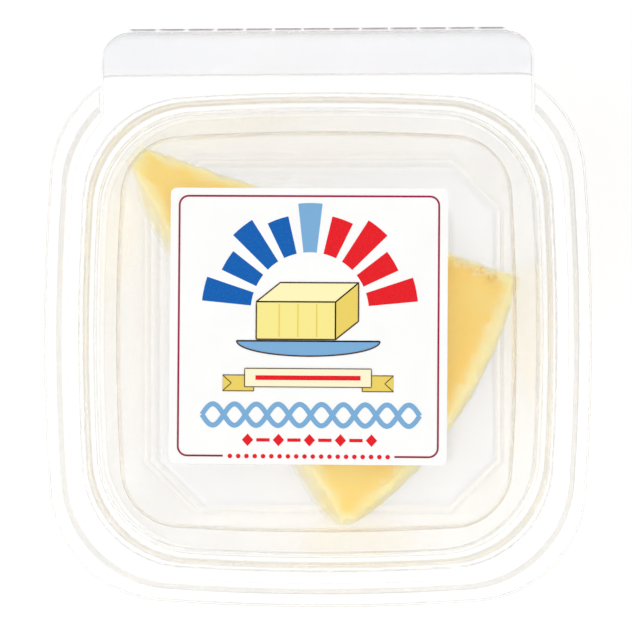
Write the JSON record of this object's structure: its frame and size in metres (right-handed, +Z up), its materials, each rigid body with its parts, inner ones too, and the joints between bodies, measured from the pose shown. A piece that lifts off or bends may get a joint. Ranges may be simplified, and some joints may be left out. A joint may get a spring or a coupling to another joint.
{
  "type": "hinged clear food pack with a wedge of butter",
  "caption": "Shut square clear plastic pack with a hinged snap-in lid, a paper label on top and a wedge of butter inside.",
  "frame": {"origin": "middle of the tray's flat foot, on the surface that the pack stands on", "axes": "+Z up through the lid, +Y towards the hinge, +X to the right when the hinge is at the back"},
  "size_m": [0.132, 0.1394, 0.0442],
  "materials": {
    "clear_plastic": "clear thermoformed sheet, glossy on both sides",
    "label_paper": "smooth white coated label paper with a plain printed design",
    "butter": "pale yellow butter, soft satin sheen"
  },
  "bodies": {
    "tray": {"tray": "clear_plastic", "butter": "butter"},
    "lid": {"lid": "clear_plastic", "label": "label_paper"}
  },
  "joints": [
    {"name": "lid_hinge", "type": "hinge", "parent": "tray", "child": "lid", "pos_m": [0, 0.0734, 0.0389], "axis": [-1, 0, 0], "range_deg": [0, 180]}
  ]
}
